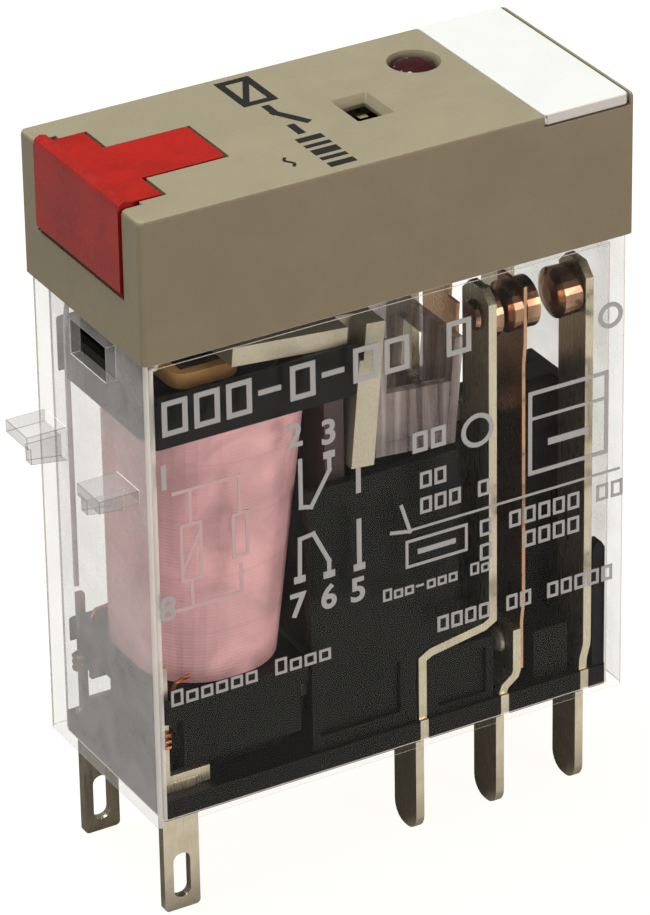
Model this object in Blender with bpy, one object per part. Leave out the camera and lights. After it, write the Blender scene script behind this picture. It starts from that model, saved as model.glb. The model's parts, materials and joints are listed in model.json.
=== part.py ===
"""Plug-in industrial control relay with two changeover contacts, an AC coil, a test lever and a lamp.

Frame: the origin is the centre of the base's underside, +Z is up, +X runs from the coil end towards the
contact end, and -Y is the side of contact set 5, 6, 7. Every size below is in millimetres, and the
helpers turn it into metres. The relay is at rest: coil off, armature open, lever up.
"""

import math

import bmesh
import bpy
from mathutils import Matrix, Vector

MM = 0.001

# Overall envelope
BODY_LENGTH = 28.8
BODY_WIDTH = 12.8
BODY_HEIGHT = 35.3
CAP_BOTTOM = 27.3
CASE_LENGTH = 28.4
CASE_WIDTH = 12.2
CASE_WALL = 0.6
FIT = 0.06  # clearance between pieces that rest on each other
CAP_CORNER = 0.35
CASE_CORNER = 0.3
CASE_INNER_CORNER = 0.2
BASE_CORNER = 0.15
LATCH_HALF = 1.9  # opening in the end wall, just below the cap
LATCH_BOTTOM = 24.4
LATCH_TOP = 26.4

# Plug-in blades
CONTACT_BLADE_X = {"nc": 2.2, "com": 7.2, "no": 12.2}
CONTACT_BLADE_Y = 3.75
CONTACT_BLADE_WIDTH = 2.3
COIL_BLADE_X = -12.25
COIL_BLADE_Y = 4.5
COIL_BLADE_WIDTH = 2.1
BLADE_THICK = 0.5
BLADE_REACH = 6.1

# Magnet system
HINGE_X = -1.9
HINGE_Z = 24.5
OPEN_TILT = math.radians(5.3)
ARM_THICK = 1.05
ARM_HALF_WIDTH = 5.0
CORE_X = -8.1
POLE_START = -10.35
POLE_END = -4.4
RING_ARM = -7.45  # middle of the shading ring's arm in the pole's slot
COIL_BOTTOM = 6.95
COIL_TOP = 21.75

# Contact sets
CONTACT_Y = 3.8
CONTACT_Z = 23.6
CONTACT_RADIUS = 1.4
STRIP_TOP = 25.4
STRIP_INNER_Y = 2.6
STRIP_OUTER_Y = 5.25
NC_STRIP_X = 6.55
NO_STRIP_X = 12.45
SPRING_THICK = 0.2
SPRING_ROOT_X = 8.45
SPRING_ROOT_Z = 3.0
SPRING_TIP_X = 8.65

# Base moulding
BASE_HALF_LENGTH = CASE_LENGTH / 2 - CASE_WALL - FIT
BASE_HALF_WIDTH = CASE_WIDTH / 2 - CASE_WALL - FIT
FLOOR_THICK = 1.2
TOWER_TOP = 16.8
WALL_FACE_Y = 5.15

# Cap and the pieces in it
CAP_WALL = 0.9
CAP_ROOF = 33.7  # underside of the cap's roof
LEVER_PIVOT_X = -12.9
LEVER_PIVOT_Z = 34.3
LEVER_BAR_HALF = 4.15
LEVER_BAR_END = -11.88
LEVER_TONGUE_HALF = 2.0
LEVER_TONGUE_END = -7.1
FIN_HALF = 4.5
FIN_BOTTOM = 30.4
LAMP_X = 6.7
LAMP_Y = 2.8
LAMP_RADIUS = 1.25
PLATE_START = 9.0
PLATE_END = 14.05
PLATE_BOTTOM = 34.68
WINDOW_SLOPE = 0.45
FLAG_ROOM_TOP = 34.62  # ceiling of the hollow in the roof where the flag moves

ROUND_STEPS = 28

AXES = {"X": (1, 2, 0), "Y": (0, 2, 1), "Z": (0, 1, 2)}


def clear_scene():
    for old in list(bpy.data.objects):
        bpy.data.objects.remove(old, do_unlink=True)


def make_material(name, colour, roughness, metallic=0.0, clear=0.0):
    material = bpy.data.materials.new(name)
    material.use_nodes = True
    shader = material.node_tree.nodes["Principled BSDF"]
    shader.inputs["Base Color"].default_value = (*colour, 1.0)
    shader.inputs["Roughness"].default_value = roughness
    shader.inputs["Metallic"].default_value = metallic
    shader.inputs["Transmission Weight"].default_value = clear
    material.diffuse_color = (*colour, 1.0)
    return material


def prism(outline, axis, low, high):
    """Closed prism: the outline's points lie across the axis, as (x, y), (x, z) or (y, z)."""
    first, second, along = AXES[axis]
    shape = bmesh.new()
    corners = []
    for u, v in outline:
        place = [0.0, 0.0, 0.0]
        place[first], place[second], place[along] = u * MM, v * MM, low * MM
        corners.append(shape.verts.new(place))
    face = shape.faces.new(corners)
    grown = bmesh.ops.extrude_face_region(shape, geom=[face])
    shift = Vector((0.0, 0.0, 0.0))
    shift[along] = (high - low) * MM
    moved = [item for item in grown["geom"] if isinstance(item, bmesh.types.BMVert)]
    bmesh.ops.translate(shape, verts=moved, vec=shift)
    bmesh.ops.recalc_face_normals(shape, faces=shape.faces)
    return shape


def block(x0, x1, y0, y1, z0, z1):
    return prism([(x0, y0), (x1, y0), (x1, y1), (x0, y1)], "Z", z0, z1)


def arc(centre, radius, start, end, steps):
    """Points on an arc, angles in degrees, both ends included."""
    turns = [math.radians(start + (end - start) * i / steps) for i in range(steps + 1)]
    return [(centre[0] + radius * math.cos(t), centre[1] + radius * math.sin(t)) for t in turns]


def circle(centre, radius, steps=ROUND_STEPS):
    return arc(centre, radius, 0, 360, steps)[:-1]


def rounded_rectangle(u0, u1, v0, v1, radius, steps=5):
    corners = ((u1, v1, 0), (u0, v1, 90), (u0, v0, 180), (u1, v0, 270))
    points = []
    for u, v, start in corners:
        centre = (u - radius if u == u1 else u + radius, v - radius if v == v1 else v + radius)
        points += arc(centre, radius, start, start + 90, steps)
    return points


def loft(sections):
    """Closed solid through rings of the same number of points, each ring as (outline, z)."""
    shape = bmesh.new()
    rings = []
    for outline, z in sections:
        rings.append([shape.verts.new((u * MM, v * MM, z * MM)) for u, v in outline])
    for lower, upper in zip(rings, rings[1:]):
        for i, start in enumerate(lower):
            j = (i + 1) % len(lower)
            shape.faces.new((start, lower[j], upper[j], upper[i]))
    shape.faces.new(rings[0])
    shape.faces.new(rings[-1])
    bmesh.ops.recalc_face_normals(shape, faces=shape.faces)
    return shape


def turned(profile, centre, axis, steps=ROUND_STEPS):
    """Solid of revolution: the profile is (distance along the axis, radius), end faces closed."""
    first, second, along = AXES[axis]
    shape = bmesh.new()
    rings = []
    for height, radius in profile:
        ring = []
        for u, v in circle((centre[first], centre[second]), radius, steps):
            place = [0.0, 0.0, 0.0]
            place[first], place[second], place[along] = u * MM, v * MM, (centre[along] + height) * MM
            ring.append(shape.verts.new(place))
        rings.append(ring)
    for lower, upper in zip(rings, rings[1:]):
        for i, start in enumerate(lower):
            j = (i + 1) % len(lower)
            shape.faces.new((start, lower[j], upper[j], upper[i]))
    shape.faces.new(rings[0])
    shape.faces.new(rings[-1])
    bmesh.ops.recalc_face_normals(shape, faces=shape.faces)
    return shape


def band(route, thickness):
    """Outline of a strip of this thickness along a route of points, both drawn in one plane."""
    left, right = [], []
    for i, point in enumerate(route):
        here = Vector(point)
        before = here - Vector(route[i - 1]) if i else Vector(route[1]) - here
        after = Vector(route[i + 1]) - here if i + 1 < len(route) else before
        along = (before.normalized() + after.normalized()).normalized()
        side = Vector((-along.y, along.x)) * thickness / 2 / max(along.dot(before.normalized()), 0.5)
        left.append(tuple(here + side))
        right.append(tuple(here - side))
    return left + right[::-1]


def as_object(name, shape):
    mesh = bpy.data.meshes.new(name)
    shape.to_mesh(mesh)
    shape.free()
    made = bpy.data.objects.new(name, mesh)
    bpy.context.scene.collection.objects.link(made)
    return made


def solid(name, material, adds, cuts=(), bevel=0.0, smooth=40):
    """One named piece: the union of the first shapes, less the second ones, with the result applied."""
    made = as_object(name, adds[0])
    tools = []
    for kind, shapes in (("UNION", adds[1:]), ("DIFFERENCE", cuts)):
        for shape in shapes:
            tool = as_object(f"{name}_tool", shape)
            step = made.modifiers.new(kind.title(), "BOOLEAN")
            step.operation = kind
            step.object = tool
            tools.append(tool)
    if bevel:
        step = made.modifiers.new("Edge", "BEVEL")
        step.width = bevel * MM
        step.segments = 2
        step.limit_method = "ANGLE"
    bpy.context.view_layer.update()
    graph = bpy.context.evaluated_depsgraph_get()
    mesh = bpy.data.meshes.new_from_object(made.evaluated_get(graph))
    made.modifiers.clear()
    made.data = mesh
    for tool in tools:
        bpy.data.objects.remove(tool, do_unlink=True)
    mesh.materials.clear()
    mesh.materials.append(material)
    mesh.shade_smooth()
    mesh.set_sharp_from_angle(angle=math.radians(smooth))
    return made


def wire(name, material, route, radius, sides=2):
    """Round wire through the route's points, with closed ends."""
    curve = bpy.data.curves.new(name, "CURVE")
    curve.dimensions = "3D"
    curve.bevel_depth = radius * MM
    curve.bevel_resolution = sides
    curve.use_fill_caps = True
    spline = curve.splines.new("POLY")
    spline.points.add(len(route) - 1)
    for point, place in zip(spline.points, route):
        point.co = (*(c * MM for c in place), 1.0)
    curve.materials.append(material)
    made = bpy.data.objects.new(name, curve)
    bpy.context.scene.collection.objects.link(made)
    return made


def smooth_route(points, step=0.45):
    """Points spaced along a smooth curve through the given ones, for a bent wire."""
    knots = [Vector(p) for p in points]
    knots = [2 * knots[0] - knots[1], *knots, 2 * knots[-1] - knots[-2]]
    route = []
    for a, b, c, d in zip(knots, knots[1:], knots[2:], knots[3:]):
        count = max(2, round((c - b).length / step))
        for i in range(count):
            t = i / count
            route.append(
                0.5 * (2 * b + (c - a) * t + (2 * a - 5 * b + 4 * c - d) * t * t
                       + (3 * b - a - 3 * c + d) * t ** 3)
            )
    return [*route, knots[-2]]


def pivot(name, x, z, tilt=0.0):
    """Empty on a joint's axis, which runs along Y."""
    axis = bpy.data.objects.new(name, None)
    axis.empty_display_size = 3 * MM
    axis.location = (x * MM, 0.0, z * MM)
    axis.rotation_euler = (0.0, tilt, 0.0)
    bpy.context.scene.collection.objects.link(axis)
    return axis


def hang(piece, axis):
    """Moves the piece's origin onto the axis and lets it turn with it."""
    piece.data.transform(Matrix.Translation(-axis.location))
    piece.parent = axis


def side_name(side):
    return "near" if side < 0 else "far"


def y_span(side, inner, outer):
    """Low and high y of a stretch that is inner to outer away from the middle, on this side."""
    return sorted((side * inner, side * outer))


def bend(x0, z0, x1, z1):
    """Points of a soft step sideways from one upright stretch to another."""
    return [(x0, z0 - 0.3), (x0 + (x1 - x0) * 0.12, z0), (x1 - (x1 - x0) * 0.12, z1), (x1, z1 + 0.3)]


def nc_route():
    return [*bend(CONTACT_BLADE_X["nc"], 5.15, NC_STRIP_X, 5.7), (NC_STRIP_X, STRIP_TOP)]


def make_base(material):
    half_l, half_w = BASE_HALF_LENGTH, BASE_HALF_WIDTH
    wall = 0.55
    adds = [prism(rounded_rectangle(-half_l, half_l, -half_w, half_w, BASE_CORNER, 3), "Z", 0, FLOOR_THICK)]
    barrier_x0, barrier_x1 = 3.7, 4.5
    tower_x0 = -4.45
    low = FLOOR_THICK - 0.2
    for side in (-1, 1):
        y0, y1 = y_span(side, WALL_FACE_Y - wall, WALL_FACE_Y)
        adds.append(block(tower_x0, barrier_x1, y0, y1, low, TOWER_TOP))
        y0, y1 = y_span(side, 4.55, 5.3)
        post = [(12.75, low), (13.5, low), (13.5, 8.4), (13.3, 8.75), (12.95, 8.75), (12.75, 8.4)]
        adds.append(prism(post, "Y", y0, y1))
        y0, y1 = y_span(side, 2.2, WALL_FACE_Y)
        adds.append(block(2.75, 6.6, y0, y1, low, 4.95))
        adds.append(block(9.3, 11.4, *y_span(side, 0.6, 4.9), low, 4.2))
    adds.append(block(barrier_x0, barrier_x1, -WALL_FACE_Y + 0.01, WALL_FACE_Y - 0.01, low, TOWER_TOP - 0.02))
    adds.append(block(barrier_x1 - 0.3, 13.3, -0.8, 0.8, low, 15.9))
    adds.append(block(5.6, 13.31, -0.79, 0.79, 15.0, 17.02))
    adds.append(block(12.9, 13.52, -2.2, 2.2, low, 17.0))
    adds.append(block(-11.9, -4.9, -3.4, 3.4, low, 3.9))
    adds.append(block(-4.44, barrier_x0 + 0.1, -1.2, 1.2, low, 3.6))
    cuts = []
    slot = BLADE_THICK / 2 + 0.04
    for x in CONTACT_BLADE_X.values():
        for side in (-1, 1):
            y0, y1 = y_span(side, 2.4, half_w + 0.3)
            cuts.append(block(x - slot, x + slot, y0, y1, -0.5, FLOOR_THICK + 0.3))
    for side in (-1, 1):
        y0, y1 = y_span(side, COIL_BLADE_Y - slot, COIL_BLADE_Y + slot)
        cuts.append(block(-13.42, -11.08, y0, y1, -0.5, FLOOR_THICK + 0.3))
        y0, y1 = y_span(side, WALL_FACE_Y - 0.3, WALL_FACE_Y + 0.5)
        cuts.append(block(-4.0, 0.9, y0, y1, 2.0, 5.1))
        cuts.append(block(3.2, 6.2, y0, y1, 1.6, 4.4))
        groove = band([(CONTACT_BLADE_X["nc"], 0.9), *nc_route()], BLADE_THICK + 0.2)
        y0, y1 = y_span(side, 2.4, WALL_FACE_Y + 0.5)
        cuts.append(prism(groove, "Y", y0, y1))
    return solid("base", material, adds, cuts)


def make_case(material):
    length, width = CASE_LENGTH / 2, CASE_WIDTH / 2
    inner_l, inner_w = length - CASE_WALL, width - CASE_WALL
    neck_l, neck_w = 13.3, 5.3
    bore_l, bore_w = neck_l - 0.55, neck_w - 0.55
    shoulder = CAP_BOTTOM - 0.15
    bottom = 0.1
    adds = [
        prism(rounded_rectangle(-length, length, -width, width, CASE_CORNER), "Z", bottom, shoulder),
        prism(rounded_rectangle(-neck_l, neck_l, -neck_w, neck_w, CASE_CORNER), "Z", shoulder - 0.3, 28.9),
    ]
    ledge_top, ledge_reach, plate = 19.75, 2.3, 0.72
    end = -length
    for side in (-1, 1):
        y0, y1 = y_span(side, 2.75, 5.15)
        adds.append(block(end - ledge_reach, end + 0.3, y0, y1, ledge_top - plate, ledge_top))
        rib = [(end + 0.3, ledge_top - 0.1), (end + 0.3, 17.75), (end - ledge_reach + 0.2, 18.1),
               (end - ledge_reach + 0.2, ledge_top - 0.1)]
        y0, y1 = y_span(side, 2.75, 3.4)
        adds.append(prism(rib, "Y", y0, y1))
    cuts = [
        prism(rounded_rectangle(-inner_l, inner_l, -inner_w, inner_w, CASE_INNER_CORNER, 3), "Z", -0.5, shoulder - 0.6),
        prism(rounded_rectangle(-bore_l, bore_l, -bore_w, bore_w, CASE_INNER_CORNER, 3), "Z", shoulder - 1.0, 29.5),
        block(end - 1, -inner_l + 0.5, -LATCH_HALF, LATCH_HALF, LATCH_BOTTOM, LATCH_TOP),
    ]
    return solid("case", material, adds, cuts)


def make_cap(material):
    length, width = BODY_LENGTH / 2, BODY_WIDTH / 2
    in_l, in_w = length - CAP_WALL, width - CAP_WALL
    top = BODY_HEIGHT
    rim = 0.24
    lip = 0.07
    outer = loft([
        (rounded_rectangle(-length, length, -width, width, CAP_CORNER), CAP_BOTTOM),
        (rounded_rectangle(-length, length, -width, width, CAP_CORNER), top - rim),
        (rounded_rectangle(-length + lip, length - lip, -width + lip, width - lip, CAP_CORNER - lip), top - lip),
        (rounded_rectangle(-length + rim, length - rim, -width + rim, width - rim, CAP_CORNER - rim), top),
    ])
    posts = [block(x - 0.5, x + 0.5, y - 0.6, y + 0.6, 32.66, CAP_ROOF + 0.3)
             for x, y in ((4.4, -4.3), (11.9, -4.3), (11.9, 4.3))]
    gap = 0.1
    swing = 0.24  # room for the lever's bar, which moves towards +X as it turns
    cuts = [
        prism(rounded_rectangle(-in_l, in_l, -in_w, in_w, 0.4, 3), "Z", CAP_BOTTOM - 1, CAP_ROOF),
        block(-length - 1, LEVER_BAR_END + swing, -LEVER_BAR_HALF - gap, LEVER_BAR_HALF + gap,
              CAP_ROOF - 0.5, top + 1),
        block(-12, LEVER_TONGUE_END + 0.2, -LEVER_TONGUE_HALF - gap, LEVER_TONGUE_HALF + gap,
              CAP_ROOF - 0.5, top + 1),
        block(-length - 1, -in_l + 0.3, -FIN_HALF - gap, FIN_HALF + gap, FIN_BOTTOM - 0.12, top + 1),
        turned([(-5.1, 0.53), (5.1, 0.53)], (LEVER_PIVOT_X, 0, LEVER_PIVOT_Z), "Y", 16),
        turned([(-2, LAMP_RADIUS + 0.1), (1.3, LAMP_RADIUS + 0.1), (1.7, LAMP_RADIUS + 0.22)],
               (LAMP_X, LAMP_Y, CAP_ROOF), "Z"),
        block(PLATE_START - 0.08, PLATE_END + 0.07, -width - 1, width + 1, PLATE_BOTTOM - 0.06, top + 1),
        loft([
            (rounded_rectangle(0.85, 2.5, -1.72, 0.62, 0.1, 2), FLAG_ROOM_TOP - 0.5),
            (rounded_rectangle(0.85, 2.5, -1.72, 0.62, 0.1, 2), top - WINDOW_SLOPE),
            (rounded_rectangle(0.6, 2.75, -2.0, 0.9, 0.1, 2), top),
            (rounded_rectangle(0.6, 2.75, -2.0, 0.9, 0.1, 2), top + 1),
        ]),
        block(-1.6, 3.6, -2.5, 1.5, CAP_ROOF - 0.5, FLAG_ROOM_TOP),
    ]
    shell = solid("cap", material, [outer], cuts)
    return with_union(shell, posts)


def with_union(piece, shapes):
    """Adds shapes inside a piece whose hollow is already cut."""
    tools = []
    for shape in shapes:
        tool = as_object(f"{piece.name}_tool", shape)
        step = piece.modifiers.new("Union", "BOOLEAN")
        step.operation = "UNION"
        step.object = tool
        tools.append(tool)
    bpy.context.view_layer.update()
    graph = bpy.context.evaluated_depsgraph_get()
    mesh = bpy.data.meshes.new_from_object(piece.evaluated_get(graph))
    piece.modifiers.clear()
    piece.data = mesh
    for tool in tools:
        bpy.data.objects.remove(tool, do_unlink=True)
    return piece


def make_nameplate(material):
    half = BODY_WIDTH / 2 - 0.1
    plate = prism(rounded_rectangle(PLATE_START, PLATE_END, -half, half, 0.25, 3), "Z",
                  PLATE_BOTTOM, BODY_HEIGHT + 0.02)
    return solid("nameplate", material, [plate], bevel=0.08)


def make_test_lever(material):
    end = -BODY_LENGTH / 2
    top = BODY_HEIGHT + 0.05
    bar = [(end + 0.1, 34.0), (end + 0.1, top), (LEVER_BAR_END, top), (LEVER_BAR_END, 34.0)]
    fin = [(end + 0.75, FIN_BOTTOM + 0.15), (end + 0.6, FIN_BOTTOM), (end + 0.05, FIN_BOTTOM),
           (end - 0.15, FIN_BOTTOM + 0.3), (end - 0.15, top - 0.2), (end - 0.05, top + 0.15),
           (end + 0.25, top + 0.3), (end + 0.6, top + 0.2), (end + 0.85, top - 0.15), (end + 0.85, 34.1)]
    tongue = rounded_rectangle(-12.1, LEVER_TONGUE_END, -LEVER_TONGUE_HALF, LEVER_TONGUE_HALF, 0.25, 3)
    stem_top = 34.4
    stem = [(-10.4, stem_top), (-10.2, 27.6), (-9.9, 27.35), (-9.1, 27.35), (-8.8, 27.6), (-8.6, stem_top)]
    adds = [
        prism(bar, "Y", -LEVER_BAR_HALF, LEVER_BAR_HALF),
        prism(fin, "Y", -FIN_HALF, FIN_HALF),
        prism(tongue, "Z", 34.1, top - 0.01),
        prism(stem, "Y", -1.1, 1.1),
        turned([(-4.85, 0.4), (-4.8, 0.45), (4.8, 0.45), (4.85, 0.4)],
               (LEVER_PIVOT_X, 0, LEVER_PIVOT_Z), "Y", 16),
    ]
    hollow = block(end + 0.7, -12.6, -3.6, 3.6, 33.0, 33.9)
    return solid("test_lever", material, adds, [hollow])


def make_lamp(material):
    r = LAMP_RADIUS
    profile = [(0, 1.5), (0.6, 1.5), (0.62, r), (1.9, r), (2.15, r * 0.86), (2.3, r * 0.5), (2.34, r * 0.12)]
    return solid("lamp_lens", material, [turned(profile, (LAMP_X, LAMP_Y, 32.95), "Z", 24)], smooth=50)


def make_lamp_board(material):
    board = prism(rounded_rectangle(3.6, 12.7, -5.0, 5.0, 0.4, 3), "Z", 31.8, 32.6)
    holes = [turned([(-1, 0.3), (1, 0.3)], (x, y, 32.2), "Z", 10) for x, y in ((4.4, 0.6), (10.9, 0.6))]
    return solid("lamp_board", material, [board], holes)


def axial_part(name, material, x0, x1, y, z, radius):
    body = 0.12
    profile = [(0, radius * 0.6), (body, radius * 0.92), (0.5, radius), (0.8, radius * 0.9),
               (x1 - x0 - 0.8, radius * 0.9), (x1 - x0 - 0.5, radius), (x1 - x0 - body, radius * 0.92),
               (x1 - x0, radius * 0.6)]
    return solid(name, material, [turned(profile, (x0, y, z), "X", 20)], smooth=50)


def make_armature(material):
    """L-shaped plate, drawn closed: level arm over the pole, upright arm beside the yoke."""
    under = HINGE_Z + 0.05
    top = under + ARM_THICK
    up0, up1 = HINGE_X + 0.75, HINGE_X + 2.1
    bottom = HINGE_Z - 7.1
    w = ARM_HALF_WIDTH
    level = [(-8.7, -w), (up1, -w), (up1, w), (-8.7, w)]
    narrow = rounded_rectangle(-12.1, -8.3, -2.7, 2.7, 0.5, 3)
    adds = [
        prism(level, "Z", under, top),
        prism(narrow, "Z", under + 0.005, top - 0.005),
        block(up0, up1 - 0.005, -w + 0.005, w - 0.005, bottom, top - 0.3),
    ]
    cuts = [block(HINGE_X - 0.1, up0 + 0.25, side * 3.6 if side > 0 else -w - 1,
                  w + 1 if side > 0 else -3.6, under - 1, top + 1) for side in (-1, 1)]
    cuts.append(block(HINGE_X - 0.35, up0 + 0.02, -1.95, 1.95, under - 1, top + 1))
    return solid("armature", material, adds, cuts, smooth=30)


def make_card(material):
    """Clear carrier on the upright arm, with one finger for each moving spring. Drawn closed."""
    face = HINGE_X + 2.1 + FIT
    deck0, deck1 = HINGE_Z - 7.0, HINGE_Z - 6.2
    out = face + 5.1
    half = 4.55
    adds = [
        block(face, face + 0.6, -half, half, deck0, HINGE_Z - 0.4),
        block(face + 0.3, out, -half + 0.01, half - 0.01, deck0 + 0.01, deck1),
        block(out - 0.55, out - 0.01, -half + 0.02, half - 0.02, deck0 + 0.02, HINGE_Z - 0.9),
    ]
    for side in (-1, 1):
        y0, y1 = y_span(side, half - 0.6, half - 0.05)
        adds.append(block(face + 0.3, out - 0.2, y0, y1, deck0 + 0.03, HINGE_Z - 3.4))
        y0, y1 = y_span(side, 1.55, 2.4)
        tip = 8.98
        reach = [(out - 0.3, deck0 + 0.04), (tip - 0.15, deck0 + 0.04), (tip, deck0 + 0.3),
                 (tip, deck0 + 0.7), (tip - 0.15, deck0 + 1.0), (out - 0.3, deck0 + 1.0)]
        adds.append(prism(reach, "Y", y0, y1))
    cuts = [block(out - 1, out + 1, -1.3, 1.3, deck1 + 1.2, HINGE_Z - 2.0)]
    return solid("actuator_card", material, adds, cuts)


def make_indicator(material):
    """Flag that stands on the armature and shows in the cap's window. Drawn closed."""
    foot = HINGE_Z + 0.05 + ARM_THICK + FIT
    stem_x = HINGE_X + 1.0
    adds = [
        block(stem_x - 4.4, stem_x + 0.9, -2.6, -0.3, foot, foot + 0.7),
        block(stem_x - 0.05, stem_x + 0.89, -1.7, -0.4, foot + 0.2, 34.2),
        prism(rounded_rectangle(stem_x - 0.2, stem_x + 3.0, -1.95, 0.95, 0.2, 2), "Z", 33.9, 34.3),
    ]
    return solid("indicator_flag", material, adds)


def make_hinge_spring(material):
    """Leaf that holds the armature's corner on the yoke and lifts the level arm."""
    thick = 0.18
    x = HINGE_X + 0.12
    route = [(x, 20.9), (x, 24.6), (x + 0.12, 25.6), (x - 0.25, 26.55), (x - 1.0, 26.8), (x - 2.4, 26.72)]
    return solid("hinge_spring", material, [prism(band(route, thick), "Y", 0.0, 1.75)], smooth=60)


def make_yoke(material):
    x1 = HINGE_X - 0.05
    x0 = x1 - 1.15
    half = 4.5
    foot0, foot1 = 4.4, 5.6
    adds = [
        block(x0, x1, -half, half, foot0, HINGE_Z - 0.1),
        block(-12.15, x0 + 0.3, -half + 0.01, half - 0.01, foot0 + 0.01, foot1),
    ]
    for side in (-1, 1):
        y0, y1 = y_span(side, 4.0, 4.95)
        adds.append(block(-8.9, -6.6, y0, y1, foot0 + 0.02, foot1 - 0.02))
    hole = turned([(-3, 1.86), (3, 1.86)], (CORE_X, 0, foot0), "Z")
    return solid("yoke", material, adds, [hole], smooth=30)


def make_core(material):
    """Round core, riveted into the yoke's foot, with a pole head that carries the shading ring."""
    pole_top = HINGE_Z
    head = 1.25
    profile = [(4.0, 1.6), (4.25, 1.8), (5.66, 1.8), (5.67, 2.2), (pole_top - 0.6, 2.2)]
    adds = [
        turned(profile, (CORE_X, 0, 0), "Z"),
        prism(rounded_rectangle(POLE_START, POLE_END, -2.7, 2.7, 0.8, 4), "Z", pole_top - head, pole_top),
    ]
    slot = block(RING_ARM - 0.37, RING_ARM + 0.37, -4, 4, pole_top - 0.9, pole_top + 1)
    return solid("core", material, adds, [slot])


def make_shading_ring(material):
    """Copper loop round the coil-end half of the pole face."""
    top = HINGE_Z + 0.03
    width, gap = 0.62, 0.07
    start = POLE_START - gap
    outer = rounded_rectangle(start - width, RING_ARM + width / 2, -3.4, 3.4, 0.9, 4)
    inner = rounded_rectangle(start, RING_ARM - width / 2, -2.78, 2.78, 0.05, 2)
    return solid("shading_ring", material, [prism(outer, "Z", top - 0.85, top)],
                 [prism(inner, "Z", top - 2, top + 1)])


def make_bobbin(material):
    left, right = -13.4, -1.45
    half = 5.35
    yoke_left = HINGE_X - 0.05 - 1.15 - FIT
    flange_z = COIL_BOTTOM - FIT
    adds = [
        prism(rounded_rectangle(CORE_X - 2.75, CORE_X + 2.75, -2.9, 2.9, 1.2, 4), "Z", 5.9, 23.0),
        prism(rounded_rectangle(left, right, -half, half, 0.4, 3), "Z", COIL_TOP + FIT, 24.75),
        prism(rounded_rectangle(left, -4.55, -half + 0.05, half - 0.05, 0.4, 3), "Z", 5.66, flange_z),
    ]
    for side in (-1, 1):
        y0, y1 = y_span(side, 4.99, 5.29)
        adds.append(block(-12.2, -5.2, y0, y1, 2.9, 5.9))
    floor = 23.15
    cuts = [
        turned([(0, 2.26), (40, 2.26)], (CORE_X, 0, 0), "Z"),
        block(-12.95, right + 1, -4.62, 4.62, floor, 26),
        block(yoke_left, right + 1, -4.6, 4.6, 20, 26),
        block(-12.95, -9.0, -5.12, 5.12, 24.2, 26),
        block(-9.4, right + 1, -5.12, 5.12, 24.4, 26),
    ]
    for side in (-1, 1):
        y0, y1 = y_span(side, 4.05, 4.95)
        cuts.append(block(left - 1, -12.7, y0, y1, 20, 26))
        cuts.append(block(left - 1, -12.1, y0, y1, 5, 10))
    return solid("bobbin", material, adds, cuts)


def coil_outline(shrink, bottom):
    if bottom:
        return rounded_rectangle(-12.6 + shrink, -4.8 - shrink, -4.6 + shrink, 4.6 - shrink, 3.4 - shrink, 9)
    return rounded_rectangle(-12.35 + shrink, -3.15 - shrink, -5.25 + shrink, 5.25 - shrink, 3.6 - shrink, 9)


def make_winding(material):
    body = loft([(coil_outline(0.22, True), COIL_BOTTOM), (coil_outline(0.22, False), COIL_TOP)])
    bore = prism(rounded_rectangle(CORE_X - 2.82, CORE_X + 2.82, -2.97, 2.97, 1.2, 4), "Z", COIL_BOTTOM - 1,
                 COIL_TOP + 1)
    return solid("coil_winding", material, [body], [bore], smooth=50)


def make_tape(material):
    body = loft([(coil_outline(0.0, True), COIL_BOTTOM), (coil_outline(0.0, False), COIL_TOP)])
    span = COIL_TOP - COIL_BOTTOM
    low, high = (coil_outline(0.16, b) for b in (True, False))

    def stretched(share):
        return [(a[0] + (b[0] - a[0]) * share, a[1] + (b[1] - a[1]) * share) for a, b in zip(low, high)]

    over = 1 / span
    bore = loft([(stretched(-over), COIL_BOTTOM - 1), (stretched(1 + over), COIL_TOP + 1)])
    return solid("coil_tape", material, [body], [bore], smooth=50)


def blade_outline(centre, width, bottom, top, tip):
    """Blade seen on its face: straight sides and a rounded tip."""
    half = width / 2
    points = [(centre + half, top)]
    points += arc((centre + half - tip, bottom + tip), tip, 0, -90, 5)
    points += arc((centre - half + tip, bottom + tip), tip, -90, -180, 5)
    points += [(centre - half, top)]
    return points


def contact_terminal(name, material, side, blade_x, route, top_round=True):
    """Blade, shoulder in the base's floor, and the strip that follows the route above it."""
    half = BLADE_THICK / 2
    outline = blade_outline(side * CONTACT_BLADE_Y, CONTACT_BLADE_WIDTH, -BLADE_REACH, -0.05, 1.0)
    neck_half = CONTACT_BLADE_WIDTH / 2 - 0.01
    neck = block(blade_x - half + 0.02, blade_x + half - 0.02, side * CONTACT_BLADE_Y - neck_half,
                 side * CONTACT_BLADE_Y + neck_half, -0.1, 0.6)
    inner, outer = y_span(side, STRIP_INNER_Y, STRIP_OUTER_Y)
    shoulder = block(blade_x - half, blade_x + half, *y_span(side, 2.5, BASE_HALF_WIDTH - 0.02), 0.1, FLOOR_THICK)
    strip = prism(band([(blade_x, FLOOR_THICK - 0.3), *route], BLADE_THICK - 0.02), "Y", inner, outer)
    adds = [prism(outline, "X", blade_x - half, blade_x + half), neck, shoulder, strip]
    cuts = []
    if top_round:
        corner = 0.9
        for y, turn in ((side * STRIP_OUTER_Y, side), (side * STRIP_INNER_Y, -side)):
            cuts.append(prism([(y + turn * 0.2, STRIP_TOP + 0.2), (y - turn * corner, STRIP_TOP + 0.2),
                               (y + turn * 0.2, STRIP_TOP - corner)], "X", route[-1][0] - 1, route[-1][0] + 1))
        rivet = (route[-1][0], side * CONTACT_Y, CONTACT_Z)
        cuts.append(turned([(-1, 0.66), (1, 0.66)], rivet, "X", 16))
    return solid(name, material, adds, cuts, smooth=30)


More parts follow.
